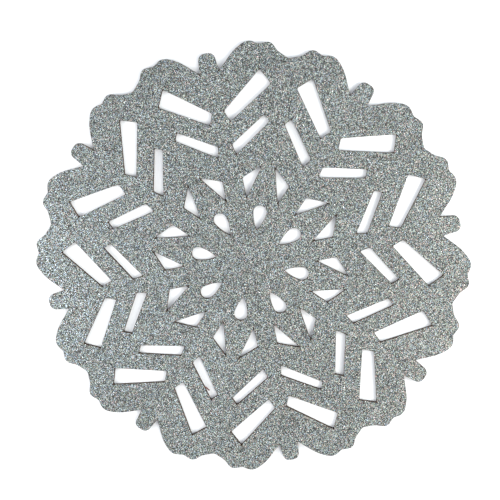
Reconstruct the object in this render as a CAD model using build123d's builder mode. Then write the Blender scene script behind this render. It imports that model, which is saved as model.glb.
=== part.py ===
from build123d import *
from math import acos, cos, degrees, radians, sin, tan
import os

# A round snowflake mat: fibreboard with glitter paper on its face and a lining sheet on its underside.
# The layers are pressed together and cut in one stroke, so they share one outline and one set of cut-outs.
# The origin is the centre of the underside, with +Z up through the face and +X along one arm.
# Sizes are in millimetres and degrees.

# ---- overall ----
mat_diameter = 380.0            # across the tips of the large scallops
arm_count = 8                   # arms of the snowflake, each ending in a tab

# ---- layers, from the table up ----
backing_paper_thickness = 0.15
backing_glue_thickness = 0.1
core_board_thickness = 2.5
facing_glue_thickness = 0.1
facing_paper_thickness = 0.2
glitter_coat_thickness = 0.15

# ---- rim of a lobe: its corners before they are rounded ----
# A depth is measured in from the mat's circle, so a corner outside the circle has a negative depth.
# A swing is 0 on an arm's axis and 1 midway between two arms.
valley_depth = 11.75            # between two lobes, at swing 1
valley_round = 5.0
shoulder_depth = 7.1            # hollow beside the valley
shoulder_swing = 0.853
shoulder_round = 15.0
small_scallop_depth = -0.65
small_scallop_swing = 0.758
small_scallop_round = 6.2
dip_depth = 2.5                 # nick between the two scallops
dip_swing = 0.625
dip_round = 0.6
large_scallop_depth = -1.42
large_scallop_swing = 0.502
large_scallop_round = 9.8
flank_depth = 6.5               # bend in the long side that runs down to the tab
flank_swing = 0.3355
flank_round = 40.0

# ---- tab at the tip of an arm ----
tab_depth = 6.6                 # from the mat's circle to the tab's end
tab_width = 12.9                # at the tab's end
tab_round = 5.4
notch_depth = 22.8              # from the mat's circle to the bottom of the cut beside the tab
notch_spread = 16.8             # between the two cuts of a tab
notch_round = 0.3

# ---- outer slots: wide, and wider towards the rim ----
outer_slot_start = 0.7024       # where they leave the arm, as a share of the mat's radius
outer_slot_spine = 10.2         # width of the arm between a pair
outer_slot_bridge = 22.2        # between the far corners of neighbouring arms
outer_slot_lean = 55.9          # away from the arm's axis
outer_slot_near_width = 10.2    # beside the arm
outer_slot_far_width = 15.5
outer_slot_near_slant = 13.0    # of the end, from square
outer_slot_far_slant = 8.0

# ---- inner slots: narrow, and narrower towards the rim ----
inner_slot_start = 0.5500
inner_slot_spine = 12.2
inner_slot_bridge = 13.2
inner_slot_lean = 58.0
inner_slot_near_width = 8.8
inner_slot_far_width = 7.4
inner_slot_near_slant = 21.0
inner_slot_far_slant = 10.0

slot_round = 0.5                # corners of both kinds of slot

# ---- triangles beside an arm ----
triangle_start = 0.2995         # where the base begins, as a share of the mat's radius
triangle_spine = 17.6           # width of the arm between a pair
triangle_base = 18.0            # the side along the arm
triangle_height = 19.2          # from that side to the tip
triangle_overhang = 7.3         # the tip's reach beyond the base
triangle_round = 0.3

# ---- teardrops midway between two arms ----
hub_radius = 30.1               # solid centre of the mat, out to the teardrops' points
teardrop_length = 21.9
teardrop_width = 11.6           # of the round end
teardrop_side_radius = 35.3     # of each curved side

mat_radius = mat_diameter / 2
arm_step = 360 / arm_count
half_step = arm_step / 2
same_spot = 0.01                # corners this close are the same corner


def around(radius, swing):
    """A point at this radius and swing."""
    angle = radians(swing * half_step)
    return (radius * cos(angle), radius * sin(angle))


def round_corners(place, radius):
    """Round the corners of the sketch in progress that repeat this place on both sides of every arm."""
    twins = [Vector(place[0], side * place[1]) for side in (1, -1)]
    spots = [twin.rotate(Axis.Z, arm * arm_step) for arm in range(arm_count) for twin in twins]
    fillet([corner for corner in vertices()
            if min((corner.center() - spot).length for spot in spots) < same_spot], radius)


# ---- outline ----
valley = around(mat_radius - valley_depth, 1)
shoulder = around(mat_radius - shoulder_depth, shoulder_swing)
small_scallop = around(mat_radius - small_scallop_depth, small_scallop_swing)
dip = around(mat_radius - dip_depth, dip_swing)
large_scallop = around(mat_radius - large_scallop_depth, large_scallop_swing)
flank = around(mat_radius - flank_depth, flank_swing)
notch = (mat_radius - notch_depth, notch_spread / 2)
tab_corner = (mat_radius - tab_depth, tab_width / 2)

lobe_side = [valley, shoulder, small_scallop, dip, large_scallop, flank, notch, tab_corner]
other_side = [(along, -across) for along, across in reversed(lobe_side[1:])]

with BuildSketch() as outline:
    with BuildLine():
        Polyline(*[Vector(corner).rotate(Axis.Z, -arm * arm_step)
                   for arm in range(arm_count) for corner in lobe_side + other_side], close=True)
    make_face()
    round_corners(valley, valley_round)
    round_corners(shoulder, shoulder_round)
    round_corners(small_scallop, small_scallop_round)
    round_corners(dip, dip_round)
    round_corners(large_scallop, large_scallop_round)
    round_corners(flank, flank_round)
    round_corners(notch, notch_round)
    round_corners(tab_corner, tab_round)


# ---- cut-outs ----
def slot_corners(start, spine, bridge, lean, near_width, far_width, near_slant, far_slant):
    """Four corners of a slot that leans away from the arm and stops at the bridge to the next arm."""
    run = Vector(1, 0).rotate(Axis.Z, lean)
    side = run.rotate(Axis.Z, 90)
    to_bridge = Vector(0, 1).rotate(Axis.Z, half_step)
    near_skew = near_width * tan(radians(near_slant))
    far_skew = far_width * tan(radians(far_slant))
    near_low = Vector(start * mat_radius, spine / 2)
    near_high = near_low + side * near_width - run * near_skew
    near_middle = (near_low + near_high) / 2
    high_offset = side * far_width / 2 - run * far_skew / 2
    room = -bridge / 2 - to_bridge.dot(near_middle + high_offset)
    far_middle = near_middle + run * (room / to_bridge.dot(run))
    return [near_low, near_high, far_middle + high_offset, far_middle - high_offset]


with BuildSketch() as outer_slot:
    with BuildLine():
        Polyline(*slot_corners(outer_slot_start, outer_slot_spine, outer_slot_bridge, outer_slot_lean,
                               outer_slot_near_width, outer_slot_far_width,
                               outer_slot_near_slant, outer_slot_far_slant), close=True)
    make_face()
    fillet(vertices(), slot_round)

with BuildSketch() as inner_slot:
    with BuildLine():
        Polyline(*slot_corners(inner_slot_start, inner_slot_spine, inner_slot_bridge, inner_slot_lean,
                               inner_slot_near_width, inner_slot_far_width,
                               inner_slot_near_slant, inner_slot_far_slant), close=True)
    make_face()
    fillet(vertices(), slot_round)

with BuildSketch() as triangle:
    base_start = Vector(triangle_start * mat_radius, triangle_spine / 2)
    base_end = base_start + Vector(triangle_base, 0)
    with BuildLine():
        Polyline(base_start, base_end, base_end + Vector(triangle_overhang, triangle_height), close=True)
    make_face()
    fillet(vertices(), triangle_round)

with BuildSketch() as teardrop:
    end_radius = teardrop_width / 2
    end_centre = Vector(hub_radius + teardrop_length - end_radius, 0)
    point = Vector(hub_radius, 0)
    # A side's arc passes through the point and is tangent to the round end, which fixes where it turns.
    inset = teardrop_side_radius - end_radius
    drop = (end_centre - point).length
    turn = degrees(acos((inset**2 + drop**2 - teardrop_side_radius**2) / (2 * inset * drop)))
    shoulder_high = end_centre + Vector(end_radius, 0).rotate(Axis.Z, turn)
    shoulder_low = end_centre + Vector(end_radius, 0).rotate(Axis.Z, -turn)
    with BuildLine():
        RadiusArc(point, shoulder_high, teardrop_side_radius)
        ThreePointArc(shoulder_high, end_centre + Vector(end_radius, 0), shoulder_low)
        RadiusArc(shoulder_low, point, teardrop_side_radius)
    make_face()

# ---- the blank: the outline with every cut-out through it ----
with BuildSketch() as arm_cutouts:
    add(outer_slot.sketch)
    add(inner_slot.sketch)
    add(triangle.sketch)
    mirror(about=Plane.XZ)

with BuildSketch() as blank:
    add(outline.sketch)
    with PolarLocations(0, arm_count):
        add(arm_cutouts.sketch, mode=Mode.SUBTRACT)
    with PolarLocations(0, arm_count, start_angle=half_step):
        add(teardrop.sketch, mode=Mode.SUBTRACT)

# ---- the layers, pressed together from the table up ----
layers = [
    ("backing_paper", backing_paper_thickness),
    ("backing_glue", backing_glue_thickness),
    ("core_board", core_board_thickness),
    ("facing_glue", facing_glue_thickness),
    ("facing_paper", facing_paper_thickness),
    ("glitter_coat", glitter_coat_thickness),
]

os.makedirs("parts", exist_ok=True)
height = 0
for name, thickness in layers:
    with BuildPart() as layer:
        with BuildSketch(Plane.XY.offset(height)):
            add(blank.sketch)
        extrude(amount=thickness)
    layer.part.label = name
    export_step(layer.part, f"parts/{name}.step")
    height += thickness
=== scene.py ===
import bpy
import bmesh
import random
from math import pi, radians, sin
from mathutils import Matrix, Vector


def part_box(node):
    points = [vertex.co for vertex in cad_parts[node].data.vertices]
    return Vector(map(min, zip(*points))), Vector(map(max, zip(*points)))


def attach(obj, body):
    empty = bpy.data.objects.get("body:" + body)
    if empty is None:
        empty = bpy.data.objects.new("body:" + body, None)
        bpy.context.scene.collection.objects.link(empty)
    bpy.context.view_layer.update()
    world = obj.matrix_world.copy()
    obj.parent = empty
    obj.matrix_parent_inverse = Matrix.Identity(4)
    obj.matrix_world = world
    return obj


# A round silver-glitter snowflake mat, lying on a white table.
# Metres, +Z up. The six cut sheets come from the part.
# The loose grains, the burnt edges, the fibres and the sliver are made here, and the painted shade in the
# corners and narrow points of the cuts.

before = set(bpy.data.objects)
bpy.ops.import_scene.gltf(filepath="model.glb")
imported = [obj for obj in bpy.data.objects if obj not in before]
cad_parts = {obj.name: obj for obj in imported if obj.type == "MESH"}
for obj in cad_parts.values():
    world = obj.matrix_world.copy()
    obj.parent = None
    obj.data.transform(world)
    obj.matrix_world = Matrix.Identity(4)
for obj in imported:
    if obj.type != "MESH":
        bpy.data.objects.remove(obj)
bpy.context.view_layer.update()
chance = random.Random(38)

board_low, board_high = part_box("core_board")
face_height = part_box("glitter_coat")[1].z


# ---- materials ----

def new_material(name):
    material = bpy.data.materials.new(name)
    material.use_nodes = True
    nodes = material.node_tree.nodes
    nodes.clear()
    finish = nodes.new("ShaderNodeOutputMaterial")
    surface = nodes.new("ShaderNodeBsdfPrincipled")
    material.node_tree.links.new(surface.outputs["BSDF"], finish.inputs["Surface"])
    return material, surface


def add(material, kind, **values):
    """A node with its settings and its inputs, each a value or another node's output."""
    node = material.node_tree.nodes.new("ShaderNode" + kind)
    for name, value in values.items():
        socket = next((s for s in node.inputs if s.name.replace(" ", "_") == name and s.enabled), None)
        if socket is None:
            setattr(node, name, value)
        elif isinstance(value, bpy.types.NodeSocket):
            material.node_tree.links.new(value, socket)
        else:
            socket.default_value = value
    return node


def place_of(material):
    return add(material, "TexCoord").outputs["Object"]


def stretched(material, place, scale):
    return add(material, "Mapping", Vector=place, Scale=scale).outputs["Vector"]


def noise(material, place, scale, detail=2.0, roughness=0.5):
    return add(material, "TexNoise", Vector=place, Scale=scale, Detail=detail,
               Roughness=roughness).outputs["Fac"]


def ramp(material, value, stops):
    """A smooth run of colours, each at its own place between 0 and 1."""
    node = add(material, "ValToRGB", Fac=value)
    bar = node.color_ramp.elements
    while len(bar) < len(stops):
        bar.new(0.5)
    for element, (spot, colour) in zip(bar, stops):
        element.position = spot
        element.color = (*colour, 1.0)
    return node.outputs["Color"]


def grey(value):
    return (value, value, value)


def blend(material, share, first, second, mode="MIX"):
    node = add(material, "Mix", data_type="RGBA", blend_type=mode)
    for socket, value in (("Factor_Float", share), ("A_Color", first), ("B_Color", second)):
        target = next(s for s in node.inputs if s.identifier == socket)
        if isinstance(value, bpy.types.NodeSocket):
            material.node_tree.links.new(value, target)
        else:
            target.default_value = value
    return next(s for s in node.outputs if s.identifier == "Result_Color")


def maths(material, operation, first, second=0.0):
    node = add(material, "Math", operation=operation)
    for socket, value in zip(node.inputs, (first, second)):
        if isinstance(value, bpy.types.NodeSocket):
            material.node_tree.links.new(value, socket)
        else:
            socket.default_value = value
    return node.outputs["Value"]


def between(material, value, low, high):
    return add(material, "MapRange", Value=value, To_Min=low, To_Max=high).outputs["Result"]


def leaning(material, random_colour, lean):
    """The surface's own direction, tipped a different way in every grain."""
    centred = add(material, "VectorMath", operation="SUBTRACT")
    material.node_tree.links.new(random_colour, centred.inputs[0])
    centred.inputs[1].default_value = (0.5, 0.5, 0.5)
    scaled = add(material, "VectorMath", operation="SCALE")
    material.node_tree.links.new(centred.outputs[0], scaled.inputs[0])
    scaled.inputs["Scale"].default_value = lean
    own = add(material, "NewGeometry").outputs["Normal"]
    summed = add(material, "VectorMath", operation="ADD")
    material.node_tree.links.new(own, summed.inputs[0])
    material.node_tree.links.new(scaled.outputs[0], summed.inputs[1])
    level = add(material, "VectorMath", operation="NORMALIZE")
    material.node_tree.links.new(summed.outputs[0], level.inputs[0])
    return level.outputs[0]


def scorched(material, place, colour):
    """The same colour, browned on the upright faces where the sheet was cut."""
    upright = add(material, "SeparateXYZ", Vector=add(material, "NewGeometry").outputs["Normal"]).outputs["Z"]
    cut = maths(material, "LESS_THAN", maths(material, "ABSOLUTE", upright), 0.5)
    brown = ramp(material, noise(material, place, 600.0, 3.0, 0.6), [(0.35, (0.018, 0.008, 0.003)),
                                                                     (0.7, (0.07, 0.036, 0.016))])
    return blend(material, cut, colour, brown)


def glitter_material():
    """Silver grains packed side by side in a clear binder, with thin dark seams between them."""
    material, surface = new_material("silver_glitter")
    place = place_of(material)
    links = material.node_tree.links
    grains = add(material, "TexVoronoi", Vector=place, Scale=2700.0)
    seams = add(material, "TexVoronoi", feature="DISTANCE_TO_EDGE", Vector=place, Scale=2700.0)
    pick = add(material, "SeparateColor", Color=grains.outputs["Color"])
    tone = ramp(material, pick.outputs["Red"], [(0.0, grey(0.008)), (0.42, grey(0.039)), (0.7, grey(0.162)),
                                                (0.86, grey(0.575)), (1.0, grey(0.94))])
    tint = ramp(material, pick.outputs["Green"], [(0.0, (1.42, 0.88, 0.86)), (0.35, (0.93, 1.08, 0.8)),
                                                  (0.65, (0.88, 1.06, 1.0)), (1.0, (0.76, 0.95, 1.26))])
    seam = ramp(material, seams.outputs["Distance"], [(0.0, grey(0.45)), (0.09, grey(1.0))])
    clump = between(material, noise(material, place, 230.0, 3.0, 0.6), 0.75, 1.25)
    drift = between(material, noise(material, place, 11.0, 1.0, 0.5), 0.85, 1.15)
    for layer in (tint, seam, clump, drift):
        tone = blend(material, 1.0, tone, layer, "MULTIPLY")
    links.new(scorched(material, place, tone), surface.inputs["Base Color"])
    links.new(leaning(material, grains.outputs["Color"], 0.5), surface.inputs["Normal"])
    links.new(between(material, pick.outputs["Blue"], 0.28, 0.6), surface.inputs["Roughness"])
    surface.inputs["Metallic"].default_value = 0.55
    surface.inputs["Coat Weight"].default_value = 0.1
    surface.inputs["Coat Roughness"].default_value = 0.3
    return material


def foil_material():
    """The loose grains on top: each one mostly a single tone of silver."""
    material, surface = new_material("silver_foil")
    place = place_of(material)
    links = material.node_tree.links
    cells = add(material, "TexVoronoi", Vector=place, Scale=900.0)
    pick = add(material, "SeparateColor", Color=cells.outputs["Color"])
    tone = ramp(material, pick.outputs["Red"], [(0.0, grey(0.036)), (0.5, grey(0.24)), (1.0, grey(0.86))])
    tint = ramp(material, pick.outputs["Green"], [(0.0, (1.05, 0.98, 0.96)), (1.0, (0.94, 1.0, 1.04))])
    links.new(blend(material, 1.0, tone, tint, "MULTIPLY"), surface.inputs["Base Color"])
    links.new(between(material, noise(material, place, 4000.0), 0.15, 0.4), surface.inputs["Roughness"])
    surface.inputs["Metallic"].default_value = 0.8
    return material


def board_material():
    """Brown fibreboard, browned further where it was cut."""
    material, surface = new_material("cut_fibreboard")
    place = place_of(material)
    links = material.node_tree.links
    layers = noise(material, stretched(material, place, (1.0, 1.0, 9.0)), 420.0, 4.0, 0.65)
    fibre = ramp(material, layers, [(0.3, (0.018, 0.008, 0.003)), (0.5, (0.045, 0.022, 0.009)),
                                    (0.68, (0.11, 0.058, 0.026))])
    scorch = ramp(material, noise(material, place, 90.0, 3.0, 0.6), [(0.35, grey(0.45)), (0.65, grey(1.1))])
    links.new(blend(material, 1.0, fibre, scorch, "MULTIPLY"), surface.inputs["Base Color"])
    bump = add(material, "Bump", Strength=0.6, Distance=0.0002, Height=layers)
    links.new(bump.outputs["Normal"], surface.inputs["Normal"])
    links.new(between(material, layers, 0.7, 0.95), surface.inputs["Roughness"])
    surface.inputs["Specular IOR Level"].default_value = 0.25
    return material


def char_and_shade_material():
    """Glitter binder burnt to a dark brown crust; the same dark colour also serves as painted shade in the
    corners and narrow points of the cuts.
    """
    material, surface = new_material("charred_binder")
    place = place_of(material)
    links = material.node_tree.links
    crust = noise(material, place, 900.0, 3.0, 0.6)
    links.new(ramp(material, crust, [(0.35, (0.014, 0.006, 0.002)), (0.6, (0.045, 0.022, 0.009)),
                                     (0.75, (0.12, 0.07, 0.038))]), surface.inputs["Base Color"])
    links.new(between(material, crust, 0.45, 0.8), surface.inputs["Roughness"])
    bump = add(material, "Bump", Strength=0.4, Distance=0.00005, Height=crust)
    links.new(bump.outputs["Normal"], surface.inputs["Normal"])
    return material


def sliver_material():
    """Raw reddish fibre, paler in streaks along the sliver."""
    material, surface = new_material("torn_fibre")
    place = place_of(material)
    links = material.node_tree.links
    streak = noise(material, place, 1800.0, 4.0, 0.6)
    links.new(ramp(material, streak, [(0.35, (0.045, 0.01, 0.007)), (0.65, (0.15, 0.042, 0.027))]),
              surface.inputs["Base Color"])
    links.new(between(material, streak, 0.6, 0.9), surface.inputs["Roughness"])
    bump = add(material, "Bump", Strength=0.5, Distance=0.0001, Height=streak)
    links.new(bump.outputs["Normal"], surface.inputs["Normal"])
    return material


def paper_material(name, pale, dark):
    """Paper with a soft cloudy tone and short fibres."""
    material, surface = new_material(name)
    place = place_of(material)
    links = material.node_tree.links
    cloud = noise(material, place, 160.0, 4.0, 0.6)
    strands = noise(material, stretched(material, place, (1.0, 0.22, 1.0)), 1500.0, 3.0, 0.6)
    both = maths(material, "ADD", maths(material, "MULTIPLY", cloud, 0.55),
                 maths(material, "MULTIPLY", strands, 0.45))
    tone = ramp(material, both, [(0.36, dark), (0.62, pale)])
    links.new(scorched(material, place, tone), surface.inputs["Base Color"])
    bump = add(material, "Bump", Strength=0.35, Distance=0.00006, Height=strands)
    links.new(bump.outputs["Normal"], surface.inputs["Normal"])
    links.new(between(material, cloud, 0.78, 0.95), surface.inputs["Roughness"])
    surface.inputs["Specular IOR Level"].default_value = 0.3
    return material


def glue_material():
    """A dried glue film, amber with darker specks of board dust."""
    material, surface = new_material("dried_glue")
    place = place_of(material)
    links = material.node_tree.links
    streak = noise(material, stretched(material, place, (1.0, 0.4, 1.0)), 700.0, 3.0, 0.55)
    amber = ramp(material, streak, [(0.32, (0.05, 0.03, 0.014)), (0.66, (0.2, 0.13, 0.065))])
    links.new(scorched(material, place, amber), surface.inputs["Base Color"])
    links.new(between(material, streak, 0.3, 0.55), surface.inputs["Roughness"])
    bump = add(material, "Bump", Strength=0.3, Distance=0.00005, Height=streak)
    links.new(bump.outputs["Normal"], surface.inputs["Normal"])
    return material


glitter = glitter_material()
foil = foil_material()
fibreboard = board_material()
carrier = paper_material("carrier_paper", (0.5, 0.47, 0.43), (0.26, 0.23, 0.2))
lining = paper_material("lining_paper", (0.78, 0.76, 0.71), (0.6, 0.57, 0.51))
dried_glue = glue_material()
# one dark material for the burnt edges and for the painted shade in corners and narrow points
char_and_shade = char_and_shade_material()
sliver_wood = sliver_material()


def dress(node, material):
    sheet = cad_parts[node]
    sheet.data.materials.clear()
    sheet.data.materials.append(material)
    return sheet


dress("glitter_coat", glitter)
dress("facing_paper", carrier)
dress("facing_glue", dried_glue)
dress("core_board", fibreboard)
dress("backing_glue", dried_glue)
dress("backing_paper", lining)


# ---- loose grains, burnt edges, fibres, the sliver and painted shade in the corners ----

upwards = Vector((0, 0, 1))
upright_limit = 0.1                     # a face whose direction rises less than this is a cut wall
level_limit = 0.9                       # and one whose direction rises more than this is a sheet's face
same_height = 1e-5

arm_count = 8

grain_width = 0.0005
grain_thickness = 0.00005
grain_lean = radians(38)
grain_sizes = (0.7, 1.25)               # this range and the next three are shares of the grain's width
grain_rise = (-0.02, 0.1)
rim_grain_sizes = (0.5, 0.9)
rim_grain_inset = (-1.5, -0.5)
rim_grain_count = 1800
grains_per_arm = 2400

fleck_step = 0.0008                     # between burnt flecks along a straight edge
fleck_lengths = (1.0, 1.5)              # shares of that step
fleck_width = 0.0003
fleck_widths = (0.5, 1.2)               # shares of the fleck's width
# wider flecks for the corners: burnt binder with painted shade
corner_shade_widths = (1.2, 3.4)
fleck_inset = 0.45
fleck_thickness = 0.00006
fleck_askew = 0.15

slight_bend = radians(4)                # between two bits of a rounded corner
sharp_bend = radians(25)                # a corner without any rounding
narrow_bend = radians(130)              # all the turn round a narrow point
corner_span = 0.0002                    # the rounding of a sharp corner is made of bits shorter than this
point_reach = 0.0008                    # the rounding of a narrow point lies within this
point_shade_reach = 0.0013                     # the size and reach of the painted shade at a narrow point
point_shade_count = 9

whisker_count = 5200
whisker_widths = (0.00003, 0.00008)
whisker_lengths = (0.0001, 0.0005)
whisker_root = 0.00004
whisker_lean = radians(65)

# the corner fibres, which also darken the corners as painted shade
fuzz_shade_height = 0.0014
fuzz_shade_length = 0.0013
fuzz_shade_widths = (0.00006, 0.00014)
fuzz_shade_root = 0.0001
fuzz_shade_lean = radians(60)
fuzz_shade_bend = radians(3)                  # one fibre for each of these in a corner's turn
table_gap = 0.0001                      # the fibres' tips stay this far above the table

splinter_length = 0.0062
splinter_width = 0.0015
splinter_root = 0.0004                  # held in the wall, and below the face
splinter_reach = (-0.0042, -0.0046)
splinter_place = Vector((-0.1016, 0.0635, (board_low.z + board_high.z) / 2))


def shape(name, build, **sizes):
    """A small closed mesh from one bmesh operator, used again and again."""
    form = bmesh.new()
    build(form, **sizes)
    mesh = bpy.data.meshes.new(name)
    form.to_mesh(mesh)
    form.free()
    return mesh


def gather(name, mesh, places, material):
    """Copies of one small mesh, one at each place, as a single piece of the mat."""
    group = bmesh.new()
    for place in places:
        mesh.transform(place)
        group.from_mesh(mesh)
        mesh.transform(place.inverted())
    whole = bpy.data.meshes.new(name)
    group.to_mesh(whole)
    group.free()
    whole.materials.append(material)
    piece = bpy.data.objects.new(name, whole)
    bpy.context.scene.collection.objects.link(piece)
    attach(piece, "root")
    return piece


def merged(node):
    """A copy of a sheet with its corners joined, for reading where its faces and edges are."""
    copy = bmesh.new()
    copy.from_mesh(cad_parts[node].data)
    bmesh.ops.remove_doubles(copy, verts=copy.verts, dist=1e-6)
    copy.normal_update()
    return copy


def spots_on(faces, count):
    """Evenly scattered points on these faces, each with its face's direction."""
    corners = [[v.co.copy() for v in f.verts] for f in faces]
    directions = [f.normal.copy() for f in faces]
    areas = [f.calc_area() for f in faces]
    spots = []
    for pick in chance.choices(range(len(corners)), weights=areas, k=count):
        first, second, third = corners[pick][:3]
        along, across = chance.random(), chance.random()
        if along + across > 1:
            along, across = 1 - along, 1 - across
        spots.append((first + (second - first) * along + (third - first) * across, directions[pick]))
    return spots


def tipped(spot, direction, lean, size):
    """A place at this spot, facing this way give or take the lean, turned at random and scaled."""
    facing = direction.to_track_quat("Z", "X").to_matrix().to_4x4()
    swing = Matrix.Rotation(chance.uniform(0, 2 * pi), 4, "Z")
    tip = swing @ Matrix.Rotation(chance.uniform(0, lean), 4, "X")
    turn = Matrix.Rotation(chance.uniform(0, 2 * pi), 4, "Z")
    return Matrix.Translation(spot) @ facing @ tip @ turn @ Matrix.Diagonal((*size, 1.0))


def laid(spot, turn, askew, size):
    """A place at this spot, turned, set a little askew and scaled."""
    return Matrix.Translation(spot) @ turn @ askew @ Matrix.Diagonal((*size, 1.0))


def laid_flat(along):
    """The turn that lays a fleck's length this way, face up."""
    return Matrix((along, upwards.cross(along), upwards)).transposed().to_4x4()


def bend_at(vert):
    """The directions of the upright faces that meet at this corner, and how sharply they turn."""
    walls = [f.normal for f in vert.link_faces if abs(f.normal.z) < upright_limit]
    return walls, max((first.angle(second) for first in walls for second in walls), default=0.0)


grain = shape("grain", bmesh.ops.create_cone, cap_ends=True, cap_tris=False, segments=6,
              radius1=grain_width / 2, radius2=grain_width / 2, depth=grain_thickness)
fleck = shape("fleck", bmesh.ops.create_cone, cap_ends=True, cap_tris=False, segments=4,
              radius1=0.75, radius2=0.5, depth=fleck_thickness, matrix=Matrix.Rotation(pi / 4, 4, "Z"))
whisker = shape("whisker", bmesh.ops.create_cone, cap_ends=True, cap_tris=False, segments=3,
                radius1=1.0, radius2=0.0, depth=1.0, matrix=Matrix.Translation((0, 0, 0.5)))


def face_grains():
    """Grains that stand proud of the coat, kept apart by arm."""
    coat = merged("glitter_coat")
    bmesh.ops.triangulate(coat, faces=coat.faces)
    top = [f for f in coat.faces if f.normal.z > level_limit]
    by_arm = [[] for arm in range(arm_count)]
    for spot, direction in spots_on(top, grains_per_arm * arm_count):
        turn = Vector((spot.x, spot.y)).angle_signed(Vector((1, 0)), 0.0)
        size = chance.uniform(*grain_sizes)
        sunk = spot + direction * grain_width * chance.uniform(*grain_rise)
        by_arm[round(turn / (2 * pi / arm_count)) % arm_count].append(
            tipped(sunk, direction, grain_lean, (size, size, 1.0)))
    coat.free()
    for arm, places in enumerate(by_arm):
        gather(f"arm_{arm + 1}_grains", grain, places, foil)


def cut_edges():
    """Each straight bit of the coat's upper cut edge: its start, its end and the way its wall faces."""
    coat = merged("glitter_coat")
    edges = [e for e in coat.edges
             if len(e.link_faces) == 2 and max(f.normal.z for f in e.link_faces) > level_limit
             and min(abs(f.normal.z) for f in e.link_faces) < upright_limit]
    bits = []
    for edge in edges:
        wall = next(f for f in edge.link_faces if abs(f.normal.z) < upright_limit)
        bits.append((edge.verts[0].co.copy(), edge.verts[1].co.copy(), wall.normal.copy()))
    coat.free()
    return bits


def rim_grains():
    """Grains caught just inside the cut edges of the coat."""
    bits = cut_edges()
    spans = [(end - start).length for start, end, outward in bits]
    places = []
    for start, end, outward in chance.choices(bits, weights=spans, k=rim_grain_count):
        spot = start.lerp(end, chance.random()) + outward * grain_width * chance.uniform(*rim_grain_inset)
        size = chance.uniform(*rim_grain_sizes)
        places.append(tipped(spot, upwards, grain_lean, (size, size, 1.0)))
    gather("rim_grains", grain, places, foil)


def charred_lip():
    """A narrow uneven line of burnt flecks on the edge of every cut, closest together in the corners, where
    wider flecks add painted shade.
    """
    places = []
    for start, end, outward in cut_edges():
        span = (end - start).length
        steps = max(1, round(span / fleck_step))
        turn = laid_flat((end - start).normalized())
        in_corner = span < corner_span
        for step in range(steps):
            # in a corner the fleck is wider, painting the corner's shade onto the burnt edge
            width = fleck_width * chance.uniform(*(corner_shade_widths if in_corner else fleck_widths))
            spot = start.lerp(end, (step + chance.random()) / steps) - outward * width * fleck_inset
            length = fleck_width if in_corner else min(span, fleck_step * chance.uniform(*fleck_lengths))
            askew = Matrix.Rotation(chance.uniform(-fleck_askew, fleck_askew), 4, "Z")
            places.append(laid(spot, turn, askew, (length, width, 1.0)))
    gather("charred_lip", fleck, places, char_and_shade)


def narrow_points():
    """The narrow points of the cut-outs: where each is and the way it opens."""
    coat = merged("glitter_coat")
    points = []
    for vert in coat.verts:
        walls, bend = bend_at(vert)
        if vert.co.z < face_height - same_height or bend < slight_bend:
            continue
        near = next((p for p in points if (p[0] / p[3] - vert.co).length < point_reach), None)
        if near:
            near[0] += vert.co
            near[1] += sum(walls, Vector())
            near[2] += bend
            near[3] += 1
        else:
            points.append([vert.co.copy(), sum(walls, Vector()), bend, 1])
    coat.free()
    return [(place / count, opening.normalized())
            for place, opening, bend, count in points if bend > narrow_bend]


def burnt_points():
    """Painted shade at the narrow points of the cut-outs: dark flecks laid on the coat past each point, and
    dark flakes standing inside each point at board height.
    """
    places = []
    for point, opening in narrow_points():
        turn = laid_flat(opening)
        # dark flecks past the point: painted shade
        for mark in range(point_shade_count):
            length = point_shade_reach * chance.uniform(0.5, 1.2)
            spot = point - opening * length * chance.uniform(0.2, 0.5)
            askew = Matrix.Rotation(chance.uniform(-0.2, 0.2), 4, "Z")
            width = point_shade_reach * chance.uniform(0.25, 0.5)
            places.append(laid(spot, turn, askew, (length, width, 1.0)))
        # dark flakes inside the point at board height: painted shade
        for inner_shade in range(point_shade_count):
            spot = point + opening * point_shade_reach * chance.uniform(0.0, 1.1)
            spot.z = board_low.z + (board_high.z - board_low.z) * chance.uniform(0.15, 0.95)
            length = point_shade_reach * chance.uniform(0.5, 0.9)
            askew = Matrix.Rotation(chance.uniform(-0.3, 0.3), 4, "X")
            width = point_shade_reach * chance.uniform(0.3, 0.6)
            places.append(laid(spot, turn, askew, (length, width, 2.0)))
    gather("burnt_points", fleck, places, char_and_shade)


def cut_whiskers():
    """Short fibres left standing on the cut walls of the board."""
    board = merged("core_board")
    bmesh.ops.triangulate(board, faces=board.faces)
    walls = [f for f in board.faces if abs(f.normal.z) < upright_limit]
    places = []
    for spot, direction in spots_on(walls, whisker_count):
        width = chance.uniform(*whisker_widths)
        length = chance.uniform(*whisker_lengths)
        root = spot - direction * whisker_root
        places.append(tipped(root, direction, whisker_lean, (width, width, length)))
    board.free()
    gather("cut_whiskers", whisker, places, fibreboard)


def corner_fuzz():
    """Torn brown fibres low down in the sharp corners of the cuts, where each cut came out of the board; they
    also darken those corners as painted shade.
    """
    board = merged("core_board")
    places = []
    for vert in board.verts:
        walls, bend = bend_at(vert)
        rims = [e.calc_length() for e in vert.link_edges
                if abs(e.verts[0].co.z - e.verts[1].co.z) < same_height]
        gentle = min(rims) > corner_span and bend < sharp_bend
        if vert.co.z < board_high.z - same_height or bend < slight_bend or gentle:
            continue
        outward = sum(walls, Vector()).normalized()
        for fibre in range(max(1, round(bend / fuzz_shade_bend))):
            height = board_low.z + fuzz_shade_height * chance.uniform(0.1, 1.0)
            spot = Vector((vert.co.x, vert.co.y, height)) - outward * fuzz_shade_root
            width = chance.uniform(*fuzz_shade_widths)
            length = chance.uniform(0.3, 1.0) * fuzz_shade_length
            place = tipped(spot, outward, fuzz_shade_lean, (width, width, length))
            if (place @ upwards).z > table_gap:
                places.append(place)
    board.free()
    gather("corner_fuzz", whisker, places, fibreboard)


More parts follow.
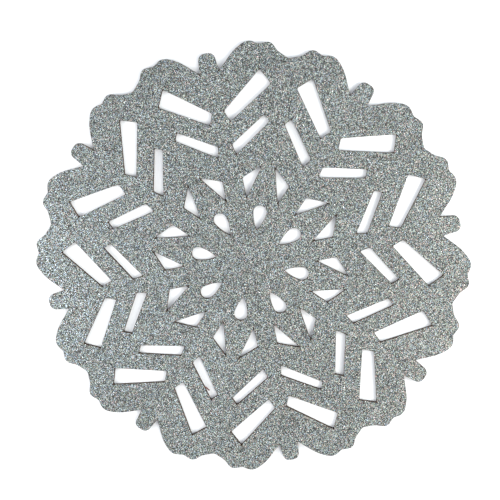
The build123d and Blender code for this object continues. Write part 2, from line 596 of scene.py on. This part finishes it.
def splinter():
    """One reddish sliver of board, torn loose from a slot's wall and lying out over the opening."""
    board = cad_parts["core_board"]
    root = board.closest_point_on_mesh(splinter_place)[1]
    root.z = face_height - splinter_root
    sliver = bmesh.new()
    bmesh.ops.create_cone(sliver, cap_ends=True, cap_tris=False, segments=5, radius1=splinter_width / 2,
                          radius2=splinter_width / 2.4, depth=splinter_length)
    long_edges = [e for e in sliver.edges if e.calc_length() > splinter_length / 2]
    bmesh.ops.subdivide_edges(sliver, edges=long_edges, cuts=7, use_grid_fill=False)
    for vert in sliver.verts:
        share = vert.co.z / splinter_length + 0.5
        vert.co.x += splinter_width * (0.15 * sin(share * 5.0) + chance.uniform(-0.09, 0.09))
        vert.co.y = vert.co.y * 0.6 + splinter_width * 0.5 * share * share
    lie = Vector((splinter_reach[0], splinter_reach[1], 0.0)).normalized()
    turn = lie.to_track_quat("Z", "Y").to_matrix().to_4x4()
    middle = root + lie * (splinter_length / 2 - splinter_root)
    bmesh.ops.transform(sliver, matrix=Matrix.Translation(middle) @ turn, verts=sliver.verts)
    bmesh.ops.recalc_face_normals(sliver, faces=sliver.faces)
    mesh = bpy.data.meshes.new("splinter")
    sliver.to_mesh(mesh)
    sliver.free()
    mesh.materials.append(sliver_wood)
    piece = bpy.data.objects.new("splinter", mesh)
    bpy.context.scene.collection.objects.link(piece)
    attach(piece, "root")


face_grains()
rim_grains()
charred_lip()
burnt_points()
cut_whiskers()
corner_fuzz()
splinter()


# ---- table, light and camera ----

def table():
    sheet = bmesh.new()
    bmesh.ops.create_grid(sheet, x_segments=1, y_segments=1, size=6.0)
    mesh = bpy.data.meshes.new("table_top")
    sheet.to_mesh(mesh)
    sheet.free()
    top = bpy.data.objects.new("table_top", mesh)
    bpy.context.scene.collection.objects.link(top)
    material, surface = new_material("white_table")
    surface.inputs["Base Color"].default_value = (0.79, 0.79, 0.79, 1.0)
    surface.inputs["Roughness"].default_value = 0.9
    surface.inputs["Specular IOR Level"].default_value = 0.1
    mesh.materials.append(material)


def softbox(name, place, size, power, colour=(1.0, 1.0, 1.0)):
    lamp = bpy.data.lights.new(name, "AREA")
    lamp.shape = "DISK"
    lamp.size = size
    lamp.energy = power
    lamp.color = colour
    box = bpy.data.objects.new(name, lamp)
    box.location = place
    box.rotation_euler = (-Vector(place)).to_track_quat("-Z", "Y").to_euler()
    bpy.context.scene.collection.objects.link(box)


def sky(strength):
    world = bpy.data.worlds.new("white_room")
    world.use_nodes = True
    world.node_tree.nodes["Background"].inputs["Color"].default_value = (0.93, 0.99, 1.06, 1.0)
    world.node_tree.nodes["Background"].inputs["Strength"].default_value = strength
    bpy.context.scene.world = world


camera_place = Vector((0.1334, -0.0839, 0.7908))
camera_target = Vector((0.0119, -0.0024, 0.0032))
camera_up = Vector((0.9666, -0.1924, -0.1691))
camera_lens = 66.28


def camera():
    data = bpy.data.cameras.new("camera")
    data.lens = camera_lens
    data.sensor_width = 36.0
    data.clip_start = 0.01
    data.clip_end = 50.0
    eye = bpy.data.objects.new("camera", data)
    back = (camera_place - camera_target).normalized()
    right = camera_up.cross(back).normalized()
    up = back.cross(right)
    turn = Matrix((right, up, back)).transposed().to_4x4()
    eye.matrix_world = Matrix.Translation(camera_place) @ turn
    bpy.context.scene.collection.objects.link(eye)
    bpy.context.scene.camera = eye


table()
sky(1.04)
softbox("key_softbox", (-0.85, -0.95, 1.3), 0.8, 16.0, (1.0, 0.95, 0.86))
softbox("left_softbox", (0.12, 0.7, 0.35), 0.4, 5.0)
softbox("right_softbox", (-0.02, -0.7, 0.35), 0.4, 5.5, (0.93, 1.0, 1.0))
camera()
bpy.context.scene.view_settings.view_transform = "Standard"
